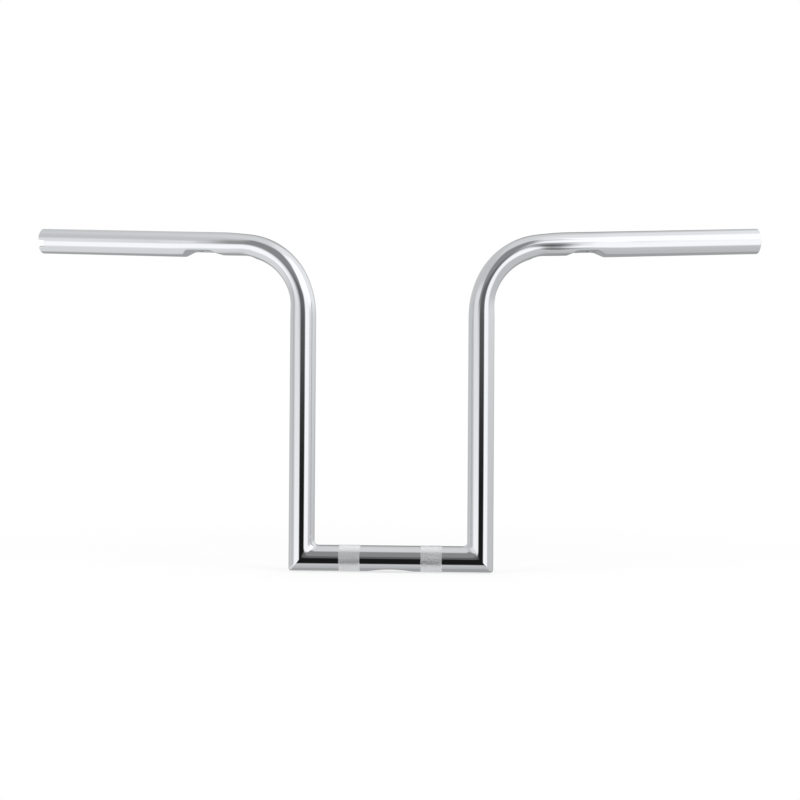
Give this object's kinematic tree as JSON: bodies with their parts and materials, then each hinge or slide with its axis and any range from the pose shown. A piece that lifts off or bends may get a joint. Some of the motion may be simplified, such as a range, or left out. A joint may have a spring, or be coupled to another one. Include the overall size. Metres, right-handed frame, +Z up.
{
  "type": "motorcycle handlebar",
  "caption": "Ape hanger handlebar: upright tubes bent out into swept grips, welded to a straight clamp tube with knurled bands.",
  "frame": {"origin": "the middle of the clamp tube's axis, between the two knurled bands", "axes": "+Z up along the risers, +Y back towards the rider, +X towards the clutch side grip"},
  "size_m": [0.7318, 0.0839, 0.3431],
  "materials": {
    "chrome": "polished chrome plate over steel tube"
  },
  "bodies": {
    "root": {"clamp_tube": "chrome", "throttle_side_tube": "chrome", "clutch_side_tube": "chrome", "throttle_side_weld": "chrome", "clutch_side_weld": "chrome"}
  },
  "joints": []
}
